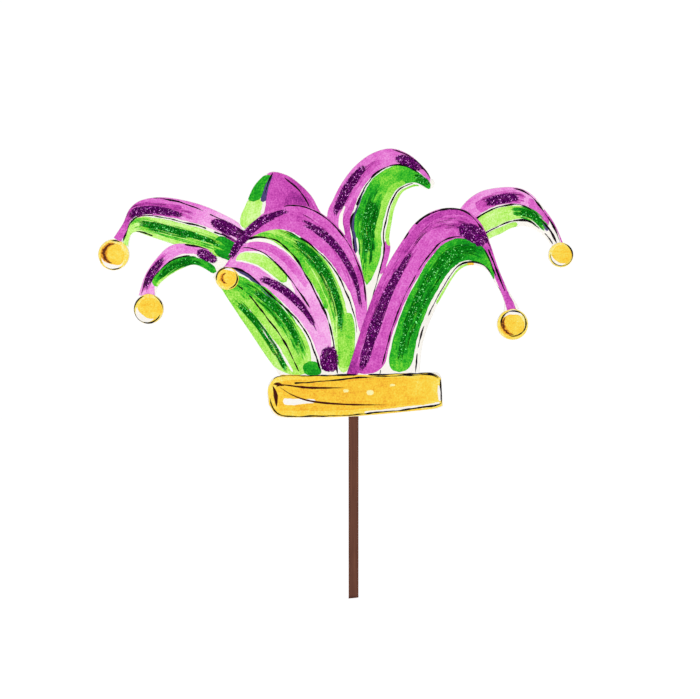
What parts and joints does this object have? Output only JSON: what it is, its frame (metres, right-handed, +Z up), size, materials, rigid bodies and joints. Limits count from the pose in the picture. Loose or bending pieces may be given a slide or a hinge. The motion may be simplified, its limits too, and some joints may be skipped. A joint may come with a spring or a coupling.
{
  "type": "jester hat stake sign",
  "caption": "Flat board cut to the outline of a horned jester hat with bells, painted purple, green and gold with raised glitter strokes, on a square stake for a pot or the hand.",
  "frame": {"origin": "middle of the stake's lower end, on the stake's centre line", "axes": "+Z up along the stake, -Y out of the picture side, +X to the viewer's right"},
  "size_m": [0.3219, 0.0105, 0.3052],
  "materials": {
    "board_white": "off-white painted board",
    "stake_brown": "brown stained wood",
    "purple_glitter": "purple glitter in clear binder",
    "green_glitter": "green glitter in clear binder",
    "purple_paint": "purple watercolour wash",
    "green_paint": "green watercolour wash",
    "gold_paint": "gold watercolour wash",
    "ink": "black and dark brown ink"
  },
  "bodies": {
    "root": {"hat_board": "board_white", "stake": "stake_brown", "far_left_purple_glitter_1": "purple_glitter", "far_left_purple_glitter_2": "purple_glitter", "far_left_green_glitter_1": "green_glitter", "low_left_purple_glitter_1": "purple_glitter", "low_left_purple_glitter_2": "purple_glitter", "low_left_green_glitter_1": "green_glitter", "back_middle_purple_glitter_1": "purple_glitter", "back_middle_purple_glitter_2": "purple_glitter", "back_middle_green_glitter_1": "green_glitter", "back_middle_green_glitter_2": "green_glitter", "back_right_purple_glitter_1": "purple_glitter", "back_right_green_glitter_1": "green_glitter", "front_left_purple_glitter_1": "purple_glitter", "front_left_purple_glitter_2": "purple_glitter", "front_left_purple_glitter_3": "purple_glitter", "front_left_purple_glitter_4": "purple_glitter", "front_left_green_glitter_1": "green_glitter", "front_left_green_glitter_2": "green_glitter", "front_left_green_glitter_3": "green_glitter", "front_right_purple_glitter_1": "purple_glitter", "front_right_purple_glitter_2": "purple_glitter", "front_right_green_glitter_1": "green_glitter"}
  },
  "joints": []
}
